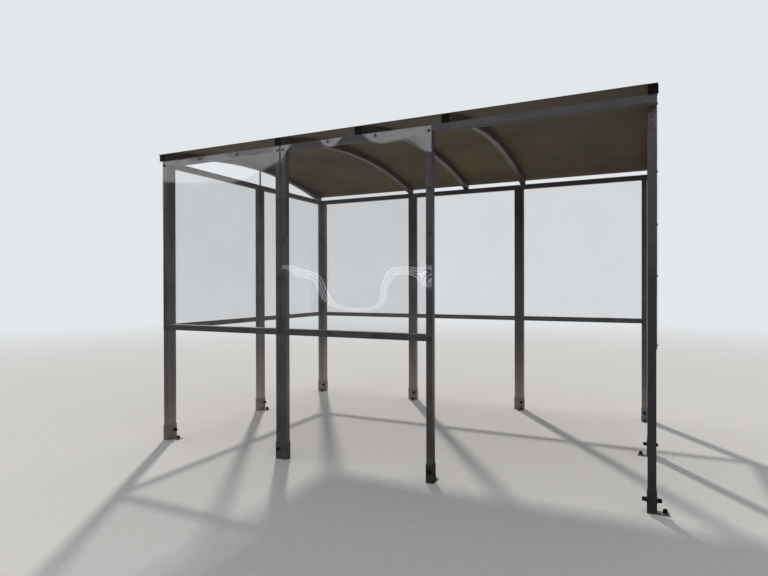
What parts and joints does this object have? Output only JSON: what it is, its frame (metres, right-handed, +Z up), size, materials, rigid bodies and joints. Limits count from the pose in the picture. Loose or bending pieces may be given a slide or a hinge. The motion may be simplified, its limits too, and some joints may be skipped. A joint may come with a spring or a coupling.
{
  "type": "smoking shelter",
  "caption": "Open rectangular smoking shelter of square aluminium tube with clear upper side sheets, an open entrance bay and an arched opaque roof on ribs.",
  "frame": {"origin": "on the floor, in the middle of the overall outline", "axes": "+X along the length towards the entrance bay, +Y from the front to the back, +Z up"},
  "size_m": [3.328, 2.174, 2.2378],
  "materials": {
    "aluminium_tube": "mill finish, slightly dulled by weather",
    "black_plastic": "moulded, satin",
    "clear_sheet": "clear, glossy, slightly wavy",
    "roof_sheet": "opaque brown grey sheet, satin",
    "zinc_steel": "zinc plated, dull"
  },
  "bodies": {
    "root": {"back_clear_sheets": "clear_sheet", "back_mid_rails": "aluminium_tube", "back_post_1": "aluminium_tube", "back_post_2": "aluminium_tube", "back_post_3": "aluminium_tube", "back_post_4": "aluminium_tube", "back_post_5": "aluminium_tube", "back_post_6": "aluminium_tube", "back_shoes": "zinc_steel", "back_top_rail": "aluminium_tube", "end_struts": "aluminium_tube", "entrance_bracket": "zinc_steel", "fourth_rib": "aluminium_tube", "front_clear_sheets": "clear_sheet", "front_mid_rails": "aluminium_tube", "front_post_1": "aluminium_tube", "front_post_2": "aluminium_tube", "front_post_3": "aluminium_tube", "front_post_4": "aluminium_tube", "front_rail_plugs": "black_plastic", "front_shoes": "zinc_steel", "front_top_rail": "aluminium_tube", "left_clear_sheets": "clear_sheet", "left_mid_rails": "aluminium_tube", "left_post_1": "aluminium_tube", "left_post_2": "aluminium_tube", "left_post_3": "aluminium_tube", "left_post_4": "aluminium_tube", "left_rib": "aluminium_tube", "left_roof_sheet": "roof_sheet", "left_top_rail": "aluminium_tube", "middle_rib": "aluminium_tube", "rib_end_caps": "black_plastic", "right_clear_sheets": "clear_sheet", "right_mid_rails": "aluminium_tube", "right_post_1": "aluminium_tube", "right_post_2": "aluminium_tube", "right_post_3": "aluminium_tube", "right_post_4": "aluminium_tube", "right_rib": "aluminium_tube", "right_roof_sheet": "roof_sheet", "right_top_rail": "aluminium_tube", "second_rib": "aluminium_tube", "side_shoes": "zinc_steel"}
  },
  "joints": []
}
